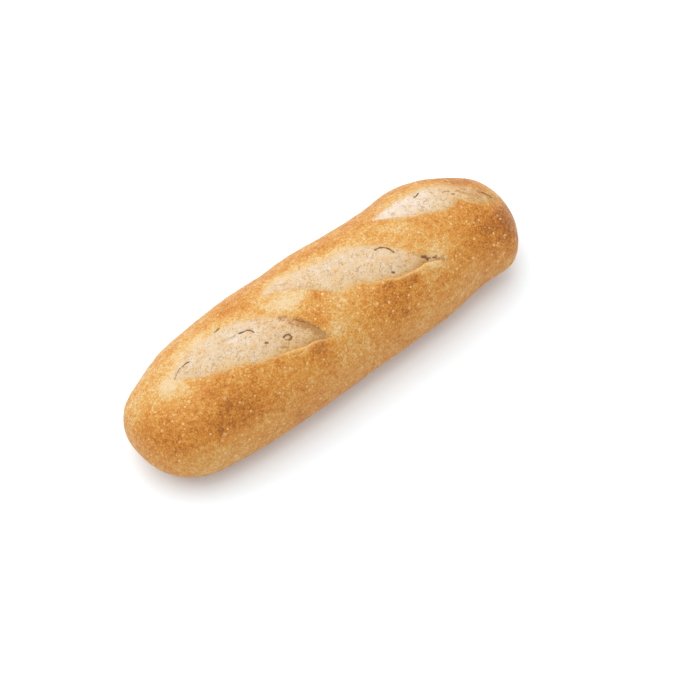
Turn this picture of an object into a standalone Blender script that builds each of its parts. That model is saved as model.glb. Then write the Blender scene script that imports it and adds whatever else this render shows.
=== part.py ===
"""A short baguette with three slashes, baked as one piece.

+X runs along the loaf, +Y is the side that the slashes opened towards, and +Z is up. The loaf
rests on the flat it was baked on, and the origin is the middle of that flat's lowest level.
"""

import math

import bmesh
import bpy
from mathutils import Vector

MM = 0.001

# Overall size of the loaf, in metres.
LENGTH = 250 * MM
WIDTH = 76.5 * MM
HEIGHT = 56 * MM

# The dough's widest level above the baking surface, and how much of its round underside
# the baking surface pressed flat.
WAIST_HEIGHT = 22 * MM
PRESSED_FLAT = 3 * MM

# How blunt the two ends are, in plan and in side view: higher powers keep the full section
# closer to the ends.
PLAN_TAPER = (4.5, 2.5)
SIDE_TAPER = (4.6, 2.3)

# Swells and waists along the loaf: place along X, reach, change of the centre line towards +Y,
# and change of the width.
SWELLS = (
    (-104 * MM, 16 * MM, -0.6 * MM, -1.6 * MM),
    (-58 * MM, 18 * MM, 1.1 * MM, 0.4 * MM),
    (5 * MM, 16 * MM, 0.7 * MM, 0.8 * MM),
    (43 * MM, 14 * MM, -0.3 * MM, -1.8 * MM),
    (79 * MM, 16 * MM, 1.9 * MM, -0.6 * MM),
    (112 * MM, 12 * MM, -3.6 * MM, 0.9 * MM),
)

# How square the round section is: its power is 2 for an ellipse, and lower at the crown than
# at the base.
SECTION_POWER = 2.45
CROWN_ROUNDER = 0.25

# The coarse cage that is smoothed into the loaf.
CAGE_SIDES = 16
CAGE_RINGS = 14
SMOOTH_LEVELS = 2

# Steps of a curve between two of its points, and the distance at which its seams are welded.
OUTLINE_STEPS = 6
EAR_STEPS = 4
EAR_ROUNDNESS = 2
WELD = 0.0001 * MM

# Each slash is a lens seen from above: the points of its lip, which lifted into an ear, and of
# its far edge, in millimetres. Both run from the -X end of the lens towards its +X end.
SLASHES = {
    "first": {
        "lip": ((-95, 7), (-79, -6), (-55, -17), (-31, -23), (-14, -26)),
        "far": ((-82, 12), (-62, 13), (-38, 4), (-20, -13)),
    },
    "middle": {
        "lip": ((-28, 17), (-11, 5), (3, -8), (24, -16), (45, -22), (65, -25)),
        "far": ((-9, 17), (13, 13), (28, 9), (46, -7)),
    },
    "last": {
        "lip": ((49, 17), (61, 9), (83, -2), (102, -10), (116, -7)),
        "far": ((67, 19), (84, 17), (99, 10), (111, 1)),
    },
}

# The risen dough that a slash shows lies under the crust, and the step down to it is highest
# at the lip, because the dough rolled open towards +Y.
OPENED_BY = Vector((0, 3.5 * MM, -2.0 * MM))
CUT_HEIGHT = 40 * MM

# The ear: a ridge of crust along each lip, which thins and sinks deeper at both ends.
EAR_RADIUS = 4.6 * MM
EAR_SET_BACK = 1.2 * MM
EAR_DEPTH = 2.8 * MM
EAR_TAPER = 0.35
EAR_SUNK_END = 0.8 * MM

CRUST_COLOUR = (0.60, 0.28, 0.075, 1.0)
CUT_FACE_COLOUR = (0.76, 0.56, 0.34, 1.0)


def clear_scene():
    for obj in list(bpy.data.objects):
        bpy.data.objects.remove(obj, do_unlink=True)


def new_collection(name):
    collection = bpy.data.collections.new(name)
    bpy.context.scene.collection.children.link(collection)
    return collection


def principled(name, colour, roughness):
    material = bpy.data.materials.new(name)
    material.use_nodes = True
    material.diffuse_color = colour
    shader = material.node_tree.nodes["Principled BSDF"]
    shader.inputs["Base Color"].default_value = colour
    shader.inputs["Roughness"].default_value = roughness
    shader.inputs["Metallic"].default_value = 0.0
    return material


def add_object(name, data, collection, frame):
    obj = bpy.data.objects.new(name, data)
    obj.parent = frame
    collection.objects.link(obj)
    return obj


def as_guide(obj):
    obj.hide_render = True
    obj.display_type = "WIRE"
    return obj


def taper(along, powers):
    """Share of the full section that is left at a place along the loaf, from -1 to 1."""
    return max(0.0, 1.0 - abs(along) ** powers[0]) ** (1.0 / powers[1])


def swell(x):
    """Change of the centre line and of the width at x, from every swell and waist."""
    sideways = 0.0
    wider = 0.0
    for centre, reach, shift, change in SWELLS:
        share = math.exp(-(((x - centre) / reach) ** 2))
        sideways += shift * share
        wider += change * share
    return sideways, wider


def crust_point(along, angle):
    """A point of the crust: a rounded section, fuller below the waist, its angle from the top."""
    x = along * LENGTH / 2
    sideways, wider = swell(x)
    across = math.sin(angle)
    upward = math.cos(angle)
    half_width = (WIDTH + wider) / 2 * taper(along, PLAN_TAPER)
    rise = HEIGHT - WAIST_HEIGHT if upward > 0 else WAIST_HEIGHT + PRESSED_FLAT
    half_height = rise * taper(along, SIDE_TAPER)
    if half_width <= 0 or half_height <= 0:
        return Vector((x, sideways, WAIST_HEIGHT))
    power = SECTION_POWER - CROWN_ROUNDER * upward
    reach = (abs(across) / half_width) ** power + (abs(upward) / half_height) ** power
    radius = reach ** (-1.0 / power)
    return Vector((x, sideways + radius * across, WAIST_HEIGHT + radius * upward))


def crust_cage():
    """A sphere's rings laid along X and moved out to the crust."""
    mesh = bpy.data.meshes.new("loaf_form")
    bm = bmesh.new()
    bmesh.ops.create_uvsphere(bm, u_segments=CAGE_SIDES, v_segments=CAGE_RINGS, radius=1.0)
    for vert in bm.verts:
        vert.co = crust_point(vert.co.z, math.atan2(vert.co.x, vert.co.y))
    bmesh.ops.recalc_face_normals(bm, faces=bm.faces)
    bm.to_mesh(mesh)
    bm.free()
    return mesh


def smooth_cage(obj):
    """Round the cage, then scale it so that the rounded form has the full size again."""
    smoothing = obj.modifiers.new("smooth", "SUBSURF")
    smoothing.levels = SMOOTH_LEVELS
    smoothing.render_levels = SMOOTH_LEVELS
    wanted = extent(obj.data)
    rounded = bpy.data.meshes.new_from_object(evaluated(obj))
    got = extent(rounded)
    bpy.data.meshes.remove(rounded)
    for vert in obj.data.vertices:
        for axis in range(3):
            share = (vert.co[axis] - got[0][axis]) / (got[1][axis] - got[0][axis])
            vert.co[axis] = wanted[0][axis] + share * (wanted[1][axis] - wanted[0][axis])
    obj.data.shade_smooth()


def evaluated(obj):
    bpy.context.view_layer.update()
    return obj.evaluated_get(bpy.context.evaluated_depsgraph_get())


def extent(mesh):
    lowest = [min(vert.co[axis] for vert in mesh.vertices) for axis in range(3)]
    highest = [max(vert.co[axis] for vert in mesh.vertices) for axis in range(3)]
    return lowest, highest


def boolean(obj, other, operation, material_mode="INDEX"):
    modifier = obj.modifiers.new(other.name, "BOOLEAN")
    modifier.object = other
    modifier.operation = operation
    modifier.solver = "EXACT"
    modifier.material_mode = material_mode


def curve_to_mesh(obj, collection, frame):
    """Replace a filled curve by a closed mesh of the same name and place."""
    name = obj.name
    mesh = bpy.data.meshes.new_from_object(evaluated(obj))
    bm = bmesh.new()
    bm.from_mesh(mesh)
    bmesh.ops.remove_doubles(bm, verts=bm.verts, dist=WELD)
    bmesh.ops.recalc_face_normals(bm, faces=bm.faces)
    bm.to_mesh(mesh)
    bm.free()
    matrix = obj.matrix_world.copy()
    bpy.data.objects.remove(obj, do_unlink=True)
    solid = add_object(name, mesh, collection, frame)
    solid.matrix_world = matrix
    return solid


def slash_prism(name, slash, collection, frame):
    """The lens of a slash, extruded upright through the crown."""
    outline = list(slash["lip"]) + list(reversed(slash["far"]))
    curve = bpy.data.curves.new(name, "CURVE")
    curve.dimensions = "2D"
    curve.fill_mode = "BOTH"
    curve.extrude = CUT_HEIGHT / 2
    curve.resolution_u = OUTLINE_STEPS
    spline = curve.splines.new("BEZIER")
    spline.bezier_points.add(len(outline) - 1)
    spline.use_cyclic_u = True
    for point, (x, y) in zip(spline.bezier_points, outline):
        point.co = (x * MM, y * MM, 0)
        point.handle_left_type = "AUTO"
        point.handle_right_type = "AUTO"
    prism = add_object(name, curve, collection, frame)
    prism.location.z = HEIGHT / 2 + CUT_HEIGHT / 2
    return curve_to_mesh(prism, collection, frame)


def slash_opening(name, slash, dough, crumb, collection, frame):
    """What a slash takes off the crust: its lens, down to the dough that rose into it."""
    opening = as_guide(slash_prism(name, slash, collection, frame))
    opening.data.materials.append(crumb)
    boolean(opening, dough, "DIFFERENCE", "TRANSFER")
    return opening


def on_crust(form, x, y):
    """The crust straight above a point of the plan, and the way that the crust faces there."""
    _, place, normal, _ = form.ray_cast(Vector((x, y, 2 * HEIGHT)), Vector((0, 0, -1)))
    return place, normal


def ear_ridge(name, slash, form, crust, collection, frame):
    """The raised lip: a tapered tube sunk into the crust behind the cut."""
    lip = slash["lip"]
    curve = bpy.data.curves.new(name, "CURVE")
    curve.dimensions = "3D"
    curve.bevel_depth = EAR_RADIUS
    curve.bevel_resolution = EAR_ROUNDNESS
    curve.resolution_u = EAR_STEPS
    curve.use_fill_caps = True
    spline = curve.splines.new("BEZIER")
    spline.bezier_points.add(len(lip) - 1)
    for index, (point, (x, y)) in enumerate(zip(spline.bezier_points, lip)):
        place, normal = on_crust(form, x * MM, y * MM - EAR_SET_BACK)
        share = math.sin(math.pi * (index + 0.5) / len(lip))
        point.co = place - normal * (EAR_DEPTH + (1 - share) * EAR_SUNK_END)
        point.handle_left_type = "AUTO"
        point.handle_right_type = "AUTO"
        point.radius = EAR_TAPER + (1 - EAR_TAPER) * share
    ridge = curve_to_mesh(add_object(name, curve, collection, frame), collection, frame)
    ridge.data.materials.append(crust)
    return as_guide(ridge)


def baking_surface(collection, frame):
    """A slab whose top is the surface that the loaf was baked on."""
    mesh = bpy.data.meshes.new("baking_surface")
    bm = bmesh.new()
    bmesh.ops.create_cube(bm, size=1.0)
    bmesh.ops.scale(bm, vec=Vector((2 * LENGTH, 2 * LENGTH, HEIGHT)), verts=bm.verts)
    bmesh.ops.translate(bm, vec=Vector((0, 0, -HEIGHT / 2)), verts=bm.verts)
    bm.to_mesh(mesh)
    bm.free()
    return as_guide(add_object("baking_surface", mesh, collection, frame))


def stand_on_origin(obj, frame):
    """Move the frame so that the middle of the loaf's box is over the origin."""
    solid = bpy.data.meshes.new_from_object(evaluated(obj))
    lowest, highest = extent(solid)
    bpy.data.meshes.remove(solid)
    frame.location.x = -(lowest[0] + highest[0]) / 2
    frame.location.y = -(lowest[1] + highest[1]) / 2


def build_loaf():
    parts = new_collection("baguette")
    guides = new_collection("guides")
    frame = bpy.data.objects.new("loaf_frame", None)
    guides.objects.link(frame)
    crust = principled("golden_crust", CRUST_COLOUR, 0.6)
    crumb = principled("baked_cut_face", CUT_FACE_COLOUR, 0.8)

    loaf = add_object("loaf", crust_cage(), parts, frame)
    loaf.data.materials.append(crust)
    smooth_cage(loaf)
    rounded = bpy.data.meshes.new_from_object(evaluated(loaf))
    form = as_guide(add_object("crust_form", rounded, guides, frame))
    dough = as_guide(add_object("risen_dough", rounded.copy(), guides, frame))
    dough.location = OPENED_BY
    dough.data.materials.clear()
    dough.data.materials.append(crumb)
    bpy.context.view_layer.update()

    for name, slash in SLASHES.items():
        ear = ear_ridge(name + "_ear", slash, form, crust, guides, frame)
        boolean(loaf, ear, "UNION", "TRANSFER")
    for name, slash in SLASHES.items():
        opening = slash_opening(name + "_slash", slash, dough, crumb, guides, frame)
        boolean(loaf, opening, "DIFFERENCE", "TRANSFER")
    boolean(loaf, baking_surface(guides, frame), "DIFFERENCE")
    stand_on_origin(loaf, frame)


clear_scene()
build_loaf()
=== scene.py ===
import itertools
import math

import bpy
import numpy as np
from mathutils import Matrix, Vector


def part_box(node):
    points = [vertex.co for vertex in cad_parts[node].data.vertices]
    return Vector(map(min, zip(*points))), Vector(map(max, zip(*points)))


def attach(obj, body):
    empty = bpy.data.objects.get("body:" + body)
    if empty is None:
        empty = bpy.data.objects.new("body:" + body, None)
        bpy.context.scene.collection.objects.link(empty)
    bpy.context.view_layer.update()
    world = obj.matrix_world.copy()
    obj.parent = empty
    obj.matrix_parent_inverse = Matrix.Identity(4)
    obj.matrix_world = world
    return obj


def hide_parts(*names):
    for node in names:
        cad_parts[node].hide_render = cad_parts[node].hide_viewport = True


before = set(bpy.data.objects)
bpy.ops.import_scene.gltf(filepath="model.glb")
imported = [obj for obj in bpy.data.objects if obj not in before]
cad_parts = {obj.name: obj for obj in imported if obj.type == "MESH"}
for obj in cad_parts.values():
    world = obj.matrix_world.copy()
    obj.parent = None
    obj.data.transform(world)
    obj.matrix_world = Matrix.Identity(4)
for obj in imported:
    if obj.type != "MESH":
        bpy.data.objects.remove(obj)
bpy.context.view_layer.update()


# --- The proved dough -----------------------------------------------------------------------------
# A short length of wheat dough, rolled to blunt ends and laid on a flat surface. Its section is
# rounded and fullest below the middle, and it bends and swells a little where it was slashed.

MM = 0.001
box_low, box_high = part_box("loaf")
LOAF_LENGTH = box_high.x - box_low.x
# The crust's relief, added later, makes up the rest of the width and height.
LOAF_WIDTH = box_high.y - box_low.y - 0.3 * MM
LOAF_HEIGHT = box_high.z - 1.0 * MM
# Height of the widest level, and how much of the round section the flat sole takes away.
WAIST_HEIGHT = 22 * MM
PRESSED_FLAT = 3 * MM
# Power of the section's superellipse, and how much smaller it gets at the crown.
SECTION_POWER = 2.45
CROWN_ROUNDER = 0.25
# Powers that round off the ends, seen from above and from the side.
PLAN_TAPER = (4.5, 2.5)
SIDE_TAPER = (4.6, 2.3)
# Place along the loaf, reach, sway of the centre line towards +Y, and change of width.
SWELLS = (
    (-104 * MM, 16 * MM, -3.0 * MM, -1.2 * MM),
    (-60 * MM, 18 * MM, -0.6 * MM, -0.4 * MM),
    (5 * MM, 16 * MM, 1.1 * MM, 1.2 * MM),
    (43 * MM, 14 * MM, -0.2 * MM, -0.8 * MM),
    (79 * MM, 16 * MM, 2.1 * MM, 0.6 * MM),
    (111 * MM, 12 * MM, -4.0 * MM, 4.4 * MM),
)


def hump(value, middle, reach):
    """1 at the middle, falling off on both sides with the square of the distance over the reach."""
    return np.exp(-(((value - middle) / reach) ** 2))


def taper(x, powers):
    """Share of the full section left at x: one less a power of the way to the end, then a root."""
    along = np.abs(x) / (LOAF_LENGTH / 2)
    return np.clip(1 - along ** powers[0], 1e-9, 1) ** (1 / powers[1])


def sway_and_swell(x):
    """Centre line and change of width at x: the sum of the swells, each one a hump."""
    sway = sum(shift * hump(x, at, reach) for at, reach, shift, _ in SWELLS)
    wider = sum(change * hump(x, at, reach) for at, reach, _, change in SWELLS)
    return sway, wider


def section_radius(x, angle):
    """Distance of the skin from the section's middle: a superellipse, squarer on its lower side."""
    across = np.abs(np.sin(angle))
    upward = np.cos(angle)
    half_width = (LOAF_WIDTH + sway_and_swell(x)[1]) / 2 * taper(x, PLAN_TAPER)
    rise = np.where(upward > 0, LOAF_HEIGHT - WAIST_HEIGHT, WAIST_HEIGHT + PRESSED_FLAT)
    half_height = rise * taper(x, SIDE_TAPER)
    power = SECTION_POWER - CROWN_ROUNDER * upward
    reach = (across / half_width) ** power + (np.abs(upward) / half_height) ** power
    return reach ** (-1 / power)


def dough_skin(x, angle):
    """Points of the smooth dough: the section's radius turned by the angle from the top."""
    radius = section_radius(x, angle)
    y = sway_and_swell(x)[0] + radius * np.sin(angle)
    z = WAIST_HEIGHT + radius * np.cos(angle)
    return np.stack(np.broadcast_arrays(x, y, z), axis=-1)


HALF_STEPS = 40
WIDEST_SHARE = 0.98


def angle_over(x, y):
    """Angle of the skin over a plan point: the arc sine of y over the radius, in half steps."""
    angle = np.zeros_like(x)
    for _ in range(HALF_STEPS):
        share = (y - sway_and_swell(x)[0]) / section_radius(x, angle)
        angle = 0.5 * angle + 0.5 * np.arcsin(np.clip(share, -WIDEST_SHARE, WIDEST_SHARE))
    return angle


# --- Three slashes --------------------------------------------------------------------------------
# A blade held low cut the skin three times, slanting along the loaf. Each flap that the blade
# undercut lifted into an ear, the lip, while the dough under it rose and rolled open towards +Y.

# Lips and far edges are plan points in mm, joined by smooth curves. In the rows each pair is a
# share of the slash's length and a height in mm, or a tone of the dough from 0 to 1: how far it
# toasted, with a painted sheen where the tone is low and painted shade where it is high.
SLASHES = (
    {
        "lip": (
            (-95, 6.8), (-88, -0.5), (-79, -6.2), (-67, -11), (-54, -17), (-39, -20.7),
            (-27, -23.4), (-14, -25.6),
        ),
        "far": (
            (-95, 6.8), (-83, 11.9), (-71, 13.6), (-61, 13), (-50, 10.3), (-38, 3.9),
            (-26, -4.5), (-19.5, -13.3), (-14, -25.6),
        ),
        "step": (
            (0, 0.3), (0.2, 0.7), (0.45, 1.0), (0.65, 1.6), (0.85, 2.6), (0.95, 2.2), (1, 0.2),
        ),
        "ear": ((0, 0), (0.15, 0.2), (0.5, 0.5), (0.75, 1.2), (0.9, 1.5), (1, 0)),
        "fold": ((0, 0), (0.78, 0), (0.9, 0.8), (0.96, 0.8), (1, 0)),
        "toast_and_painted_light": ((0, 0.40), (0.3, 0.38), (0.55, 0.36), (0.75, 0.53), (0.9, 0.64), (1, 0.70)),
        "bulge": 1.2,
    },
    {
        "lip": (
            (-28, 16.3), (-18.5, 10.6), (-10.7, 5.3), (-3.8, -1.2), (2, -7.6), (7, -9.6),
            (13.4, -11.2), (24.2, -16), (35.7, -20.4), (45, -22), (56, -22.9), (66, -25.4),
        ),
        "far": (
            (-28, 16.3), (-18.3, 19.2), (-8.5, 17.5), (1, 15.4), (10, 13), (25.6, 9.6),
            (38.8, 1.2), (46.8, -7.6), (54.4, -16.8), (66, -25.4),
        ),
        "step": (
            (0, 0.1), (0.15, 0.7), (0.28, 0.8), (0.38, 0.2), (0.5, 0.9), (0.75, 1.8), (0.92, 2),
            (1, 0.1),
        ),
        "ear": (
            (0, 0), (0.15, 0.4), (0.28, 0.5), (0.38, 0.1), (0.5, 0.6), (0.75, 1.4), (0.88, 1.5),
            (1, 0),
        ),
        "fold": ((0, 0), (0.8, 0), (0.9, 0.3), (1, 0)),
        "toast_and_painted_light": ((0, 0.40), (0.3, 0.42), (0.5, 0.40), (0.85, 0.60), (1, 0.9)),
        "bulge": 1.0,
    },
    {
        "lip": (
            (49, 16.6), (60.3, 8.8), (72, 2.7), (83, -2.8), (91, -3.2), (95, -0.8), (98.5, -6.5),
            (103, -9.5), (111, -10.2), (117, -8),
        ),
        "far": (
            (49, 16.6), (58, 18.6), (67.2, 19.5), (78.7, 18.7), (90.4, 14.9), (101.7, 8.5),
            (109.6, 2.6), (117, -8),
        ),
        "step": ((0, 0.1), (0.2, 0.7), (0.5, 1.0), (0.75, 1.4), (0.9, 1.3), (1, 0.1)),
        "ear": ((0, 0), (0.2, 0.15), (0.6, 0.25), (0.85, 0.4), (1, 0)),
        "fold": ((0, 0), (1, 0)),
        "toast_and_painted_light": ((0, 0), (0.4, 0.1), (0.6, 0.4), (0.8, 0.75), (1, 0.95)),
        "bulge": 0.8,
    },
)


def smooth_through(points, at):
    """A smooth curve through points: cubic stretches whose slopes are those between neighbours."""
    knots, values = np.array(points, float).T
    slopes = np.gradient(values, knots)
    at = np.clip(at, knots[0], knots[-1])
    piece = np.clip(np.searchsorted(knots, at, side="right") - 1, 0, len(knots) - 2)
    span = knots[piece + 1] - knots[piece]
    t = (at - knots[piece]) / span
    start = (2 * t**3 - 3 * t**2 + 1) * values[piece] + (t**3 - 2 * t**2 + t) * span * slopes[piece]
    end = (3 * t**2 - 2 * t**3) * values[piece + 1] + (t**3 - t**2) * span * slopes[piece + 1]
    return start + end


NOISE_SEED = 5
shuffled = np.random.default_rng(NOISE_SEED).permutation(256)


def lattice_value(cell, salt):
    """A fixed random number, 0 to 1, for each whole-numbered cell, looked up three times over."""
    index = shuffled[(cell[..., 0] + salt) & 255]
    index = shuffled[(index + cell[..., 1]) & 255]
    return shuffled[(index + cell[..., 2]) & 255] / 255


def unevenness(points, size, salt):
    """Smooth random waves, -1 to 1: the values at a cube's corners, blended across the cube."""
    scaled = points / size
    cell = np.floor(scaled).astype(int)
    t = scaled - cell
    t = t * t * (3 - 2 * t)
    total = 0
    for corner in itertools.product((0, 1), repeat=3):
        weight = np.prod(np.where(corner, t, 1 - t), axis=-1)
        total = total + weight * lattice_value(cell + corner, salt)
    return 2 * total - 1


def torn_edge(x):
    """How far the torn lip strays from a clean cut: random waves of 6 mm and 2.5 mm along it."""
    along = np.stack([x, 0 * x, 0 * x], axis=-1)
    return 0.45 * MM * unevenness(along, 6 * MM, 71) + 0.25 * MM * unevenness(along, 2.5 * MM, 73)


# --- The skin's grid ------------------------------------------------------------------------------
# Rings round the loaf, evenly spaced along the skin, crossed by lines that wind along it as the
# slashes do, so that one line runs exactly along each lip and the ear's edge comes out clean.

RINGS = 400
LINES = 244
LINE_STEP = 2 * math.pi / LINES
# How much closer the lines lie on the top, and how far they turn for each length along the loaf.
TOP_DENSITY = 0.35
WINDING = -0.0160 / MM
# How far past a lip's ends, and how far round the loaf, the lines still bend towards it.
BEND_ALONG = 18 * MM
BEND_AROUND = 0.42


def ramp(value, start, end):
    """Rises from 0 at start to 1 at end, level at both: three times the square less twice the cube."""
    t = np.clip((value - start) / (end - start), 0, 1)
    return t * t * (3 - 2 * t)


def half_turn(angle):
    """The same direction as an angle within half a turn of 0: the remainder after whole turns."""
    return (angle + math.pi) % (2 * math.pi) - math.pi


def wound_to_angle(wound):
    """Crowds the lines on the top: the angle less a share of its own sine."""
    return wound - TOP_DENSITY * np.sin(wound)


def angle_to_wound(angle):
    """The same the other way: the value whose crowding gives the angle, read from a table of it."""
    wound = np.linspace(-math.pi, math.pi, 2001)
    return np.interp(angle, wound_to_angle(wound), wound)


def ring_places():
    """Places of the rings: equal steps of the arc along the loaf's outline, seen from above."""
    fine = LOAF_LENGTH / 2 * np.sin(np.linspace(-math.pi / 2, math.pi / 2, 6001))
    radius = LOAF_WIDTH / 2 * taper(fine, PLAN_TAPER)
    arc = np.concatenate([[0], np.cumsum(np.hypot(np.diff(fine), np.diff(radius)))])
    return np.interp(np.linspace(0, arc[-1], RINGS + 1), arc, fine)[1:-1]


x_ring = ring_places()
line = np.arange(LINES) * LINE_STEP
turn = np.broadcast_to(line, (len(x_ring), LINES)).copy()
for slash in SLASHES:
    ends = (slash["lip"][0][0] * MM, slash["lip"][-1][0] * MM)
    lip_y = smooth_through(slash["lip"], x_ring / MM) * MM + torn_edge(x_ring)
    far_y = smooth_through(slash["far"], x_ring / MM) * MM
    slash["share"] = ((x_ring - ends[0]) / (ends[1] - ends[0]))[:, None]
    slash["lip_angle"] = angle_over(x_ring, lip_y)
    slash["far_angle"] = angle_over(x_ring, far_y)
    lip_turn = angle_to_wound(slash["lip_angle"]) - WINDING * x_ring
    inside = (x_ring > ends[0]) & (x_ring < ends[1])
    home = round(float(lip_turn[inside].mean()) / LINE_STEP)
    comes_in = ramp(x_ring, ends[0] - BEND_ALONG, ends[0])
    goes_out = ramp(-x_ring, -ends[1] - BEND_ALONG, -ends[1])
    bend = (lip_turn - home * LINE_STEP) * (comes_in * goes_out)
    apart = half_turn(line - home * LINE_STEP)
    turn += bend[:, None] * hump(apart, 0, BEND_AROUND)
wound = turn + WINDING * x_ring[:, None]
angle = wound_to_angle(half_turn(wound))
x = np.broadcast_to(x_ring[:, None], angle.shape)
skin = dough_skin(x, angle)


def facing(points):
    """Outward directions on the grid: the cross product of its steps along and round the loaf."""
    along = np.gradient(points, axis=0)
    around = np.roll(points, -1, axis=1) - np.roll(points, 1, axis=1)
    outward = np.cross(along, around)
    return outward / np.linalg.norm(outward, axis=-1, keepdims=True)


outward = facing(skin)


# --- Opening of the slashes -----------------------------------------------------------------------
# Behind the lip the skin lifts into the ear. In front of it the cut face drops by the step, bulges,
# and rises to the skin at the far edge. Where a flap hangs over the far edge, a fold shadows it.

# Lips and far edges slant across the loaf, which shortens the way between them to this share.
SLANT = 0.93
LIP_LINE = 0.2 * MM
LEAST_OPENING = 0.5 * MM
STEP_POWER = 1.5
EAR_REACH = 4.5 * MM
OVERHANG_REACH = 1.5 * MM
OVERHANG_SHARE = 0.8
FOLD_REACH = 4 * MM
GROOVE_WIDTH = 0.8 * MM
GROOVE_SHARE = 0.8
# Which side of the line between skin and dough a point is on: 0.5 on the line, rising inwards.
SKIN, DOUGH = -0.6, 1.6
SHARP_LIP = 0.3 * MM
FLAT_LIP_BLUR = 4.5 * MM
FAR_BLUR = 7 * MM
RIM_WIDTH = 0.6 * MM
STRAW_REACH = 3.5 * MM
STRETCHED_AT, STRETCHED_REACH = 1.5 * MM, 4.5 * MM


def fade(away, reach):
    """Falls off from 1 with distance, by the exponential; distances below zero count as none."""
    return np.exp(-np.clip(away, 0, None) / reach)


lift, overhang, rim, fold_shade, toast_and_painted_light, lip_band, stretched = np.zeros((7, *angle.shape))
opened = np.full(angle.shape, SKIN)
radius = section_radius(x, angle)
for slash in SLASHES:
    share = slash["share"]
    within = (share > 0) & (share < 1)
    from_lip = half_turn(angle - slash["lip_angle"][:, None]) * radius * SLANT
    opening = (slash["far_angle"] - slash["lip_angle"])[:, None] * radius * SLANT
    across = from_lip / np.maximum(opening, LEAST_OPENING)
    past_far = from_lip - opening
    step, ear, fold = [smooth_through(slash[row], share) * MM for row in ("step", "ear", "fold")]
    cut_side = within & (from_lip > LIP_LINE) & (across < 1)
    skin_side = within & (from_lip <= LIP_LINE)

    dip = -step * np.clip(1 - across, 0, 1) ** STEP_POWER
    dip += slash["bulge"] * MM * np.sin(math.pi * np.clip(across, 0, 1)) * ramp(opening, 0, 14 * MM)
    lift += np.where(cut_side, dip, 0)
    rise = ear * fade(-from_lip, EAR_REACH)
    lift += np.where(skin_side, rise, 0)
    overhang += np.where(skin_side, OVERHANG_SHARE * rise * fade(-from_lip, OVERHANG_REACH), 0)
    lift += np.where(within & (past_far > 0), fold * fade(past_far, FOLD_REACH), 0)
    groove = hump(past_far, -GROOVE_WIDTH, GROOVE_WIDTH)
    lift -= np.where(within, GROOVE_SHARE * fold * groove, 0)

    # At the far edge skin and dough merge over several millimetres. At the lip they part sharply
    # where it stands up as an ear, and merge where it lies flat.
    lip_blur = SHARP_LIP + FLAT_LIP_BLUR * (1 - ramp(ear, 0.2 * MM, 0.5 * MM))
    inwards = np.minimum((from_lip - LIP_LINE) / lip_blur, -past_far / FAR_BLUR)
    side = np.where(within, np.clip(0.5 + inwards, SKIN, DOUGH), SKIN)
    # Each point takes the dough tone of the slash it lies furthest inside, painted sheen and painted shade
    # included.
    toast_and_painted_light = np.where(side > opened, smooth_through(slash["toast_and_painted_light"], share), toast_and_painted_light)
    opened = np.maximum(opened, side)

    # The ear's thin rim, the skin that stretched beyond the far edge, the dough that the fold
    # shades, and the straw-coloured dough just inside the lip.
    edge = fade(-from_lip, RIM_WIDTH) * ramp(ear, 0.3 * MM, 1.2 * MM)
    rim = np.maximum(rim, np.where(skin_side, edge, 0))
    beyond = hump(past_far, STRETCHED_AT, STRETCHED_REACH) * ramp(share, 0, 0.15)
    beyond = beyond * (1 - ramp(share, 0.55, 0.85))
    stretched = np.maximum(stretched, np.where(within, beyond, 0))
    near_fold = ramp(past_far, -12 * MM, -2 * MM)
    fold_shade = np.maximum(fold_shade, np.where(cut_side, fold / MM * near_fold, 0))
    straw_line = fade(from_lip, STRAW_REACH) * ramp(share, 0.1, 0.35) * ramp(opening, 0, 6 * MM)
    lip_band = np.maximum(lip_band, np.where(cut_side, straw_line, 0))


# --- Crust relief ---------------------------------------------------------------------------------
# Steam blew the skin into fine blisters, and drying left it gently uneven all over. The dough that
# the slashes opened tore and pitted as it rose, and the baking surface kept the underside flat.


def blisters(points, spacing, smallest, largest, salt):
    """Round bumps at jittered places, one to a cube: a smooth dome of the distance to each."""
    cell = np.floor(points / spacing).astype(int)
    bump = np.zeros(points.shape[:-1])
    for offset in itertools.product((-1, 0, 1), repeat=3):
        near = cell + offset
        jitter = np.stack([lattice_value(near, salt + k) for k in (1, 2, 3)], axis=-1)
        reach = smallest + (largest - smallest) * lattice_value(near, salt + 4) ** 2
        away = np.linalg.norm(points - (near + jitter) * spacing, axis=-1)
        bump = np.maximum(bump, np.clip(1 - (away / reach) ** 2, 0, 1))
    return bump


# The sole to be: 0 from 6 mm above the baking surface, 1 from 1 mm above it down.
below = ramp(-skin[..., 2], -6 * MM, -1 * MM)
dough = ramp(opened, 0.3, 0.7)
blister = blisters(skin, 6.5 * MM, 0.6 * MM, 1.3 * MM, 40) * (1 - dough) * (1 - below)
# Waves of the skin: height and size in mm, which random set, and how far they show.
WAVES = (
    (0.7, 38, 3, 1), (0.35, 15, 11, 1 - 0.5 * below), (0.18, 5, 17, 1), (0.09, 2.2, 23, 1),
    (0.14, 2.6, 29, dough),
)
for wave_height, wave_size, salt, showing in WAVES:
    lift += wave_height * MM * unevenness(skin, wave_size * MM, salt) * showing
BLISTER_HEIGHT = 0.18 * MM
lift += BLISTER_HEIGHT * blister

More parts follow.
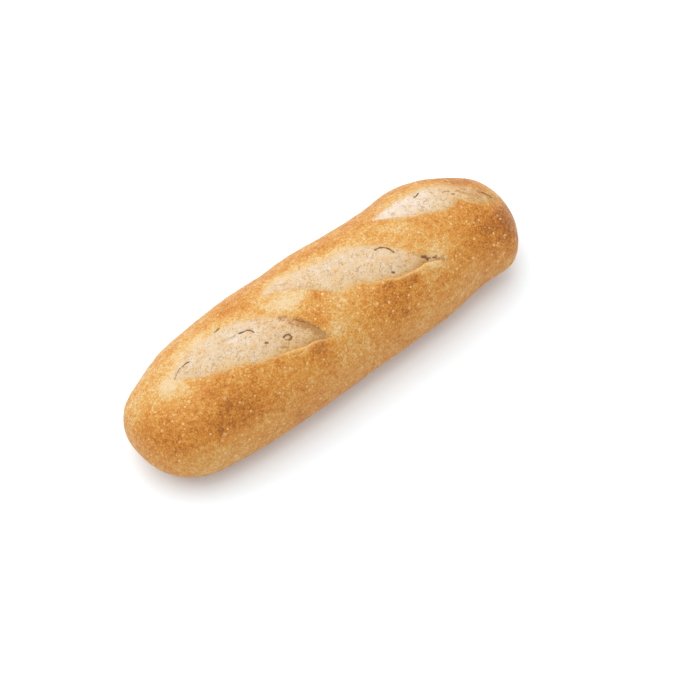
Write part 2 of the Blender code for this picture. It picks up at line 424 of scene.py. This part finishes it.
# Tears and pits of the opened dough: plan points in mm of each stroke, its width and depth in mm,
# and how brown it went inside.
TEARS = (
    (((-61.6, 4.9), (-57.3, 4.1), (-52.2, 3.3)), 1.2, 0.2, 0.58),
    (((-52.2, 3.3), (-47.9, 2.1), (-46.6, 0.6), (-46.2, -1.2)), 0.7, 0.5, 1),
    (((-93.9, 5.4), (-88.8, 7.7), (-86, 8)), 0.55, 0.3, 0.8),
    (((-86, 8), (-84, 7.9), (-82.1, 7.4)), 0.7, 0.5, 1),
    (((-35.8, -12.5), (-34, -11.9), (-32.3, -12.8), (-32, -14.6), (-33.6, -15.2)), 0.65, 0.5, 0.95),
    (((-35.8, -12.5), (-35.6, -14), (-33.6, -15.2)), 0.6, 0.3, 0.8),
    (((-45, -9.5), (-44.4, -9.9)), 0.95, 0.5, 1),
    (((-40, -15.8), (-38.6, -16.6), (-36.5, -17.4)), 1.1, 0.3, 0.65),
    (((-61, 13.6), (-57.5, 14.4)), 0.7, 0.3, 0.9),
    (((-41, 4.5), (-36, 1)), 0.5, 0.15, 0.6),
    (((-31, -4), (-25, -8), (-21, -12)), 0.5, 0.2, 0.75),
    (((36.1, -0.4), (38.6, -0.7), (40.6, -1.6), (42, -3.2), (42.9, -5.4), (43.1, -7.7)), 0.65, 0.6, 1),
    (((54.6, -17.8), (56.2, -18.6), (56.8, -20.2)), 1.1, 0.9, 1),
    (((59.5, -20.9), (60.6, -21.4)), 0.6, 0.4, 0.9),
    (((62.4, -22.4), (63.2, -22.9)), 0.55, 0.3, 0.8),
    (((35.2, -15.8), (36.2, -16.4)), 1.0, 0.4, 0.95),
    (((77.2, 15.4), (79.0, 15.6), (81.1, 16.6)), 0.75, 0.5, 1),
    (((90.4, 7.8), (92.4, 7.9), (94.2, 6.6)), 0.6, 0.3, 0.75),
    (((94.6, 4.6), (95.6, 3.4)), 0.8, 0.3, 0.8),
    (((111, -1.8), (113, -4.4), (113.9, -6.7)), 0.8, 0.7, 1),
)


def stroke(points, plan, width):
    """Nearness to a line of plan points: a hump of the distance to its nearest stretch."""
    nearest = np.full(plan.shape[:-1], 1.0)
    for a, b in zip(points, points[1:]):
        start = np.array(a) * MM
        run = np.array(b) * MM - start
        along = np.clip(((plan - start) @ run) / (run @ run), 0, 1)
        nearest = np.minimum(nearest, np.linalg.norm(plan - start - along[..., None] * run, axis=-1))
    return hump(nearest, 0, width * MM)


upper = skin[..., 2] > WAIST_HEIGHT
tear = np.zeros_like(angle)
for points, width, depth, brown in TEARS:
    nearness = np.where(upper, stroke(points, skin[..., :2], width), 0)
    tear = np.maximum(tear, brown * nearness)
    lift -= depth * MM * nearness

skin = skin + outward * lift[..., None]
skin[..., 1] += overhang

# The underside goes flat, and a soft bend joins it to the sides.
SOLE_BEND = 1.2 * MM
skin[..., 2] = SOLE_BEND * np.logaddexp(0, skin[..., 2] / SOLE_BEND)
skin[..., 2] -= skin[..., 2].min()
skin[..., 1] += (box_low.y + box_high.y) / 2 - (skin[..., 1].min() + skin[..., 1].max()) / 2


# --- Browning -------------------------------------------------------------------------------------
# How far each patch of skin browned: 0 is pale straw, 0.5 gold and 1 chestnut. The oven's heat took
# the ears, the far end and the shoulder below the first slash furthest, and left the stretched skin
# beside the slashes pale.

BASE_BROWNING = 0.50
STRETCHED_PALER = 0.30
# Place along in mm, angle from the top in degrees, reach along and around, and change of browning.
BROWNED_PATCHES = (
    (-84, -48, 28, 20, 0.28), (-118, -20, 13, 60, 0.16), (-116, 28, 9, 26, -0.22),
    (-104, -88, 20, 22, -0.18), (-92, -3, 8, 8, -0.20), (-78, -20, 12, 6, 0.10),
    (-99, 13, 8, 10, -0.48), (-90, 22, 14, 10, -0.10), (-88, 46, 26, 22, -0.18),
    (-50, 36, 14, 9, 0.12), (-22, -46, 8, 7, 0.30), (-2, -62, 13, 16, -0.14),
    (-10, -42, 7, 10, -0.28), (28, -54, 14, 14, 0.22), (27, -35, 5, 5, 0.20),
    (43, -41, 3.5, 3.5, 0.40), (62, -30, 13, 14, -0.18), (60, -39, 9, 8, -0.30),
    (64, -82, 20, 16, -0.10), (104, -45, 18, 30, 0.32), (113, -34, 12, 34, 0.12),
    (111, -17, 7, 8, -0.20), (-20, 6, 12, 13, -0.58), (-6, -5, 3.5, 7, 0.22),
    (-12, -22, 4, 8, 0.20), (-20, 27, 14, 9, -0.26), (3, -22, 11, 14, -0.18),
    (18, 34, 8, 10, 0.14), (36, 25, 12, 10, -0.12), (66, 30, 10, 8, 0.12),
    (54, 2, 10, 16, -0.20), (66, 13, 12, 7, -0.20), (81, 6, 10, 6, -0.20),
    (108, 35, 14, 16, 0.20),
)

degrees = np.degrees(angle)
browning = BASE_BROWNING + 0.05 * unevenness(skin, 20 * MM, 51) + 0.06 * unevenness(skin, 8 * MM, 57)
for along, around, reach_along, reach_around, change in BROWNED_PATCHES:
    far_off = ((x / MM - along) / reach_along) ** 2 + ((degrees - around) / reach_around) ** 2
    browning = browning + change * np.exp(-far_off)
browning = browning - STRETCHED_PALER * stretched


def loaf_mesh(name, points):
    """Joins the grid into one closed skin: quads between rings, and a fan of triangles at each tip."""
    rings, lines = points.shape[:2]
    tips = np.array([points[0].mean(axis=0), points[-1].mean(axis=0)])
    index = np.arange(rings * lines).reshape(rings, lines)
    beside = np.roll(index, -1, axis=1)
    quads = np.stack([index[:-1], beside[:-1], beside[1:], index[1:]], axis=-1).reshape(-1, 4)
    first = np.stack([beside[0], index[0], np.full(lines, rings * lines)], axis=-1)
    last = np.stack([index[-1], beside[-1], np.full(lines, rings * lines + 1)], axis=-1)
    mesh = bpy.data.meshes.new(name)
    corners = np.concatenate([points.reshape(-1, 3), tips])
    mesh.from_pydata(corners.tolist(), [], quads.tolist() + first.tolist() + last.tolist())
    mesh.shade_smooth()
    return mesh


mesh = loaf_mesh("baked_loaf", skin)
marks = {
    "browning": browning, "opened": opened, "toast_and_painted_light": toast_and_painted_light, "lip_band": lip_band,
    "fold_shade": fold_shade, "rim": rim, "tear": tear, "blister": blister, "sole": below,
}
for name, values in marks.items():
    # One number for each point of the skin; a tip takes the mean of its ring.
    at_tips = [values[0].mean(), values[-1].mean()]
    layer = mesh.attributes.new(name, "FLOAT", "POINT")
    layer.data.foreach_set("value", np.append(values.ravel(), at_tips).astype(np.float32))
loaf = bpy.data.objects.new("baked_loaf", mesh)
bpy.context.scene.collection.objects.link(loaf)


# --- Baked crust ----------------------------------------------------------------------------------
# Starch and sugar browned in the oven: gold where the skin stretched late, chestnut where it stood
# up, satin where steam glazed it, and speckled with pale blisters. The dough that the slashes
# opened dried matt and cream, with the pores of the crumb.


def linear(hex_colour):
    """sRGB hex to linear: a straight slope close to black, and a power of 2.4 above it."""
    channels = [int(hex_colour[k : k + 2], 16) / 255 for k in (1, 3, 5)]
    return [c / 12.92 if c <= 0.04045 else ((c + 0.055) / 1.055) ** 2.4 for c in channels] + [1.0]


def add_node(tree, kind, settings, inputs, output=0):
    """Adds a node, sets its properties, links or fills its inputs, and returns one of its outputs."""
    node = tree.nodes.new(kind)
    for name, value in settings.items():
        setattr(node, name, value)
    for socket, value in inputs.items():
        if isinstance(value, bpy.types.NodeSocket):
            tree.links.new(value, node.inputs[socket])
        else:
            node.inputs[socket].default_value = value
    return node.outputs[output]


MATH = "ShaderNodeMath"
MIX = "ShaderNodeMix"
NOISE = "ShaderNodeTexNoise"
CELLS = "ShaderNodeTexVoronoi"
RANGE = "ShaderNodeMapRange"
RAMP = "ShaderNodeValToRGB"
PARTS = "ShaderNodeSeparateColor"
COLOUR = {"data_type": "RGBA"}
# A colour mix takes its share at 0, the colour without it at 6 and with it at 7, and gives output 2.
SHARE, WITHOUT, WITH, MIXED = 0, 6, 7, 2
SMOOTH = {"interpolation_type": "SMOOTHSTEP"}
ADD_SHARE = {"operation": "MULTIPLY_ADD"}
TIMES = {"operation": "MULTIPLY"}
LESS = {"operation": "SUBTRACT"}
LARGER = {"operation": "MAXIMUM"}

crust = bpy.data.materials.new("baked_crust")
crust.use_nodes = True
tree = crust.node_tree
shader = tree.nodes["Principled BSDF"]
place = add_node(tree, "ShaderNodeTexCoord", {}, {}, "Object")
mark = {
    name: add_node(tree, "ShaderNodeAttribute", {"attribute_name": name}, {}, "Fac") for name in marks
}

# Broad drifts, mottling the size of the crumb's bubbles, a grain finer than both, and the domes of
# bubbles that stopped just under the skin.
drift = add_node(tree, NOISE, {}, {"Vector": place, "Scale": 1 / (9 * MM), "Detail": 2.0})
mottle = add_node(tree, NOISE, {}, {"Vector": place, "Scale": 1 / (2.4 * MM), "Detail": 2.0})
blotch = add_node(tree, NOISE, {}, {"Vector": place, "Scale": 1 / (5 * MM), "Detail": 2.0})
flecks = {"Vector": place, "Scale": 1 / (0.9 * MM), "Detail": 3.0, "Roughness": 0.7}
grain = add_node(tree, NOISE, {}, flecks)
bubble = add_node(tree, CELLS, {}, {"Vector": place, "Scale": 1 / (1.6 * MM)}, "Distance")
dome = add_node(tree, RANGE, SMOOTH, {"Value": bubble, "From Min": 0.5, "From Max": 0.1})

# Skin: its browning decides the colour, from straw through gold to chestnut. The noises are 0.5 on
# average, so what they add together is taken off again.
level = mark["browning"]
waves = (
    (drift, 0.35), (blotch, 0.40), (mottle, 0.70), (grain, 1.55), (dome, -0.18), (mark["sole"], 0.12),
)
for wave, amount in waves:
    level = add_node(tree, MATH, ADD_SHARE, {0: wave, 1: amount, 2: level})
level = add_node(tree, MATH, LESS, {0: level, 1: 1.475})
baked = add_node(tree, RAMP, {}, {0: level})
stops = baked.node.color_ramp.elements
stops[0].color = linear("#d0b389")
stops[1].color = linear("#8b4e12")
for at, colour in ((0.22, "#c99e59"), (0.45, "#c48532"), (0.68, "#b8701c"), (0.84, "#a3600f")):
    stops.new(at).color = linear(colour)

# Pale specks: blisters too low for the mesh, no more than one to a cell, up to 1.8 mm across.
cell = add_node(tree, CELLS, {}, {"Vector": place, "Scale": 1 / (3.0 * MM)}, "Distance")
chance = add_node(tree, PARTS, {}, {0: cell.node.outputs["Color"]})
speck_edge = add_node(tree, MATH, ADD_SHARE, {0: chance, 1: 0.50, 2: -0.20})
speck = add_node(tree, MATH, LESS, {0: speck_edge, 1: cell})
speck = add_node(tree, RANGE, SMOOTH, {"Value": speck, "From Min": 0.0, "From Max": 0.05})
spots = add_node(tree, MATH, LARGER, {0: speck, 1: mark["blister"]})
pale = add_node(tree, MATH, TIMES, {0: spots, 1: 0.7})
baked = add_node(tree, MIX, COLOUR, {SHARE: pale, WITHOUT: baked, WITH: linear("#e2ba84")}, MIXED)

# Opened dough: whitish where it dried early, partly a painted sheen, and peach to tan where it
# toasted under the ear, partly painted shade towards the slashes' ends. The fold's shade is
# painted into this colour as well.
crumb_level = mark["toast_and_painted_light"]
shares = ((drift, 0.35), (blotch, 0.60), (mottle, 1.0), (grain, 1.2), (mark["fold_shade"], 0.65))
for wave, amount in shares:
    crumb_level = add_node(tree, MATH, ADD_SHARE, {0: wave, 1: amount, 2: crumb_level})
crumb_level = add_node(tree, MATH, LESS, {0: crumb_level, 1: 1.58})
crumb = add_node(tree, RAMP, {}, {0: crumb_level})
stops = crumb.node.color_ramp.elements
stops[0].color = linear("#d6c3b2")
stops[1].color = linear("#a1703c")
for at, colour in ((0.3, "#cbb394"), (0.6, "#cfa97c"), (0.8, "#be9262")):
    stops.new(at).color = linear(colour)
straw = add_node(tree, MATH, TIMES, {0: mark["lip_band"], 1: 0.85})
crumb = add_node(tree, MIX, COLOUR, {SHARE: straw, WITHOUT: crumb, WITH: linear("#cea35b")}, MIXED)

# Small brown pores of the crumb, up to 1.4 mm across, and puckers where its own skin dried.
hole = add_node(tree, CELLS, {}, {"Vector": place, "Scale": 1 / (2.5 * MM)}, "Distance")
hole_chance = add_node(tree, PARTS, {}, {0: hole.node.outputs["Color"]})
hole_edge = add_node(tree, MATH, ADD_SHARE, {0: hole_chance, 1: 0.8, 2: -0.52})
pore = add_node(tree, MATH, LESS, {0: hole_edge, 1: hole})
pore = add_node(tree, RANGE, SMOOTH, {"Value": pore, "From Min": 0.0, "From Max": 0.2})
creases = {"Vector": place, "Scale": 1 / (2.0 * MM), "Detail": 1.0, "Distortion": 2.0}
crease = add_node(tree, NOISE, {}, creases)
pucker = add_node(tree, RANGE, SMOOTH, {"Value": crease, "From Min": 0.58, "From Max": 0.68})
hollows = add_node(tree, MATH, LARGER, {0: pore, 1: pucker})
hollow_dark = add_node(tree, MATH, TIMES, {0: hollows, 1: 0.62})
crumb = add_node(tree, MIX, COLOUR, {SHARE: hollow_dark, WITHOUT: crumb, WITH: linear("#a98058")}, MIXED)

# Skin and dough merge raggedly: the mottling shifts the line between them, where the sum is 2.
ragged = mark["opened"]
for wave, amount in ((blotch, 1.0), (mottle, 1.2), (grain, 0.8)):
    ragged = add_node(tree, MATH, ADD_SHARE, {0: wave, 1: amount, 2: ragged})
line_blur = {"Value": ragged, "From Min": 1.78, "From Max": 2.22}
opened_share = add_node(tree, RANGE, SMOOTH, line_blur)
surface = add_node(tree, MIX, COLOUR, {SHARE: opened_share, WITHOUT: baked, WITH: crumb}, MIXED)
rim_share = add_node(tree, MATH, TIMES, {0: mark["rim"], 1: 0.7})
surface = add_node(tree, MIX, COLOUR, {SHARE: rim_share, WITHOUT: surface, WITH: linear("#deb16f")}, MIXED)

# Tears and pits go brown inside, in broken lines.
broken = add_node(tree, MATH, ADD_SHARE, {0: mottle, 1: 0.6, 2: mark["tear"]})
torn = add_node(tree, RANGE, SMOOTH, {"Value": broken, "From Min": 0.66, "From Max": 1.15})
torn_dark = add_node(tree, MATH, TIMES, {0: torn, 1: 0.9})
surface = add_node(tree, MIX, COLOUR, {SHARE: torn_dark, WITHOUT: surface, WITH: linear("#6a3f1a")}, MIXED)

# The sole keeps a thin bloom of the flour that it was baked on.
dusting = add_node(tree, RANGE, SMOOTH, {"Value": blotch, "From Min": 0.40, "From Max": 0.65})
dusting = add_node(tree, MATH, TIMES, {0: dusting, 1: mark["sole"]})
dusting = add_node(tree, MATH, TIMES, {0: dusting, 1: 0.4})
surface = add_node(tree, MIX, COLOUR, {SHARE: dusting, WITHOUT: surface, WITH: linear("#dcc9a8")}, MIXED)
tree.links.new(surface, shader.inputs["Base Color"])

# Relief too fine for the mesh, each wave with its height in mm.
height = add_node(tree, MATH, TIMES, {0: mottle, 1: 0.35 * MM})
hollow_depth = add_node(tree, MATH, TIMES, {0: hollows, 1: opened_share})
reliefs = ((grain, 0.20), (dome, 0.12), (speck, 0.10), (hollow_depth, -0.12), (torn, -0.30))
for wave, depth in reliefs:
    height = add_node(tree, MATH, ADD_SHARE, {0: wave, 1: depth * MM, 2: height})
relief = add_node(tree, "ShaderNodeBump", {}, {"Height": height, "Distance": 1.0, "Strength": 1.0})
tree.links.new(relief, shader.inputs["Normal"])
matt = add_node(tree, MATH, LARGER, {0: opened_share, 1: mark["sole"]})
gloss = add_node(tree, RANGE, {}, {"Value": matt, "To Min": 0.5, "To Max": 0.8})
tree.links.new(gloss, shader.inputs["Roughness"])
shader.inputs["IOR"].default_value = 1.4
mesh.materials.append(crust)

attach(loaf, "root")
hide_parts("loaf")


# --- Floor, light and camera ----------------------------------------------------------------------
# The loaf lies on a sweep of white paper. A broad softbox hangs above it and a little behind, and
# white walls all round fill the shadows.

# White paper: matt, so that the shadow on it is soft and has no shine.
white = bpy.data.materials.new("white_paper_sweep")
white.use_nodes = True
paper = white.node_tree.nodes["Principled BSDF"]
paper.inputs["Base Color"].default_value = linear("#f3f7f9")
paper.inputs["Roughness"].default_value = 0.9

FLOOR_SIZE = 12
bpy.ops.mesh.primitive_plane_add(size=FLOOR_SIZE, location=(0, 0, 0))
floor = bpy.context.object
floor.name = "pale_floor"
floor.data.materials.append(white)

KEY_DIRECTION = Vector((-0.10, 0.48, 1.0))
KEY_DISTANCE = 1.0
KEY_SIZE = 1.6
KEY_POWER = 10.8
KEY_COLOUR = (0.94, 1.0, 1.0)
softbox = bpy.data.lights.new("key_softbox", "AREA")
softbox.shape = "SQUARE"
softbox.size = KEY_SIZE
softbox.energy = KEY_POWER
softbox.color = KEY_COLOUR
lamp = bpy.data.objects.new("key_softbox", softbox)
lamp.location = KEY_DIRECTION.normalized() * KEY_DISTANCE
lamp.rotation_euler = KEY_DIRECTION.to_track_quat("Z", "Y").to_euler()
bpy.context.scene.collection.objects.link(lamp)

WALL_COLOUR = (0.98, 1.0, 1.03, 1)
WALL_STRENGTH = 0.96
world = bpy.data.worlds.new("white_studio")
world.use_nodes = True
walls = world.node_tree.nodes["Background"]
walls.inputs["Color"].default_value = WALL_COLOUR
walls.inputs["Strength"].default_value = WALL_STRENGTH
bpy.context.scene.world = world
bpy.context.scene.view_settings.view_transform = "Standard"

CAMERA_AZIMUTH = math.radians(-39.7)
CAMERA_ELEVATION = math.radians(56)
CAMERA_DISTANCE = 1.33
CAMERA_LENS = 127.7
# The loaf's middle, and how far beside and below it the camera aims.
LOAF_MIDDLE = Vector((0, -0.5 * MM, 25 * MM))
AIM_BESIDE = 14.9 * MM
AIM_BELOW = 16.7 * MM
camera_data = bpy.data.cameras.new("camera")
camera_data.lens = CAMERA_LENS
camera_data.clip_start = 0.05
camera = bpy.data.objects.new("camera", camera_data)
backward = Vector((
    math.sin(CAMERA_AZIMUTH) * math.cos(CAMERA_ELEVATION),
    -math.cos(CAMERA_AZIMUTH) * math.cos(CAMERA_ELEVATION),
    math.sin(CAMERA_ELEVATION),
))
sideways = Vector((math.cos(CAMERA_AZIMUTH), math.sin(CAMERA_AZIMUTH), 0))
upward = backward.cross(sideways)
aim = LOAF_MIDDLE + sideways * AIM_BESIDE - upward * AIM_BELOW
camera.location = aim + backward * CAMERA_DISTANCE
camera.rotation_euler = backward.to_track_quat("Z", "Y").to_euler()
bpy.context.scene.collection.objects.link(camera)
bpy.context.scene.camera = camera
